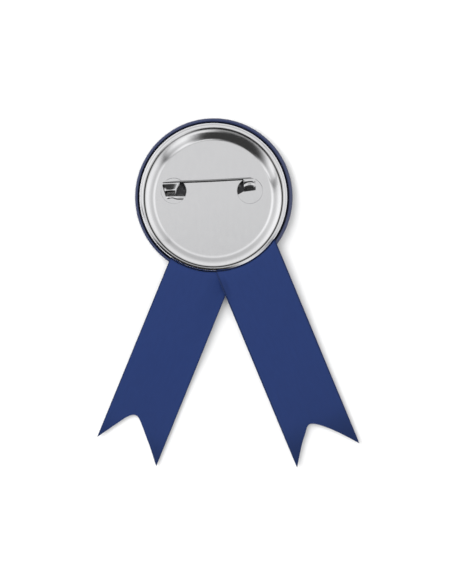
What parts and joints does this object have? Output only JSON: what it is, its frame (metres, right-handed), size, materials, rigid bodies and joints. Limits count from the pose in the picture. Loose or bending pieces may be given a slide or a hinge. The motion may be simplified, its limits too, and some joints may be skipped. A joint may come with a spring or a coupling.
{
  "type": "ribbon pin",
  "caption": "Round tinplate button badge with a wire pin on its back and ribbon tails with swallowtail ends crimped under its rim.",
  "frame": {"origin": "middle of the flat of the badge's front, which the badge lies on", "axes": "+Z out of the back, where the pin is; +Y away from the ribbon tails; the pin's point is towards -X"},
  "size_m": [0.0961, 0.1283, 0.0072],
  "materials": {
    "covered_rim": "dark blue printed paper under clear gloss film",
    "tinplate": "bright rolled tinplate, mirror-like with a soft haze",
    "spring_wire": "bright drawn spring wire",
    "ribbon": "blue satin ribbon with a fine cross weave"
  },
  "bodies": {
    "badge": {"face_cover": "covered_rim", "shell": "tinplate", "back_plate": "tinplate", "tail_left": "ribbon", "tail_right": "ribbon"},
    "pin": {"pin_wire": "spring_wire"}
  },
  "joints": [
    {"name": "pin_hinge", "type": "hinge", "parent": "badge", "child": "pin", "pos_m": [0.0142, 0.00684, 0.0054], "axis": [-0.0416, 0.9054, -0.4226], "range_deg": [0, 70]}
  ]
}
